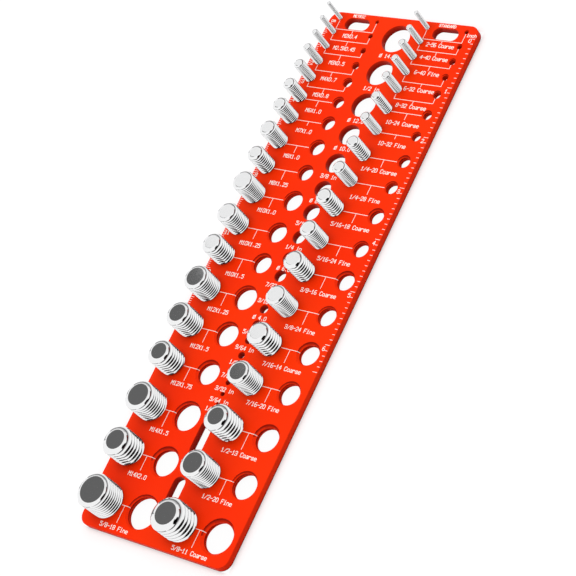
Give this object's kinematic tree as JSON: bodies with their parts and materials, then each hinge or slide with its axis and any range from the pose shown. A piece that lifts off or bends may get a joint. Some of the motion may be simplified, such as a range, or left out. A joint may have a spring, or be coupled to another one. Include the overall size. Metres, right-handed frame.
{
  "type": "nut and bolt thread checker",
  "caption": "Flat gauge plate with graded tapped holes, threaded studs and plain sizing holes for finding the size and pitch of nuts and bolts.",
  "frame": {"origin": "middle of the plate's back face, which is the middle of the whole part's underside", "axes": "+Y along the plate from the largest threads to the smallest, +X across it towards the inch scale, +Z out of the marked face along the studs"},
  "size_m": [0.0812, 0.2616, 0.0156],
  "materials": {
    "plate": "anodised, satin",
    "stud": "polished, threaded"
  },
  "bodies": {
    "root": {"gauge_plate": "plate", "stud_5_8_18": "stud", "stud_5_8_11": "stud", "stud_m14x2_0": "stud", "stud_1_2_20": "stud", "stud_m14x1_5": "stud", "stud_1_2_13": "stud", "stud_m12x1_75": "stud", "stud_7_16_20": "stud", "stud_m12x1_5": "stud", "stud_7_16_14": "stud", "stud_m12x1_25": "stud", "stud_3_8_24": "stud", "stud_m10x1_5": "stud", "stud_3_8_16": "stud", "stud_m10x1_25": "stud", "stud_5_16_24": "stud", "stud_m10x1_0": "stud", "stud_5_16_18": "stud", "stud_m8x1_25": "stud", "stud_1_4_28": "stud", "stud_m8x1_0": "stud", "stud_1_4_20": "stud", "stud_m7x1_0": "stud", "stud_10_32": "stud", "stud_m6x1_0": "stud", "stud_10_24": "stud", "stud_m5x0_8": "stud", "stud_8_32": "stud", "stud_m4x0_7": "stud", "stud_6_32": "stud", "stud_m3x0_5": "stud", "stud_6_40": "stud", "stud_m2_5x0_45": "stud", "stud_4_40": "stud", "stud_m2x0_4": "stud", "stud_2_56": "stud"}
  },
  "joints": []
}
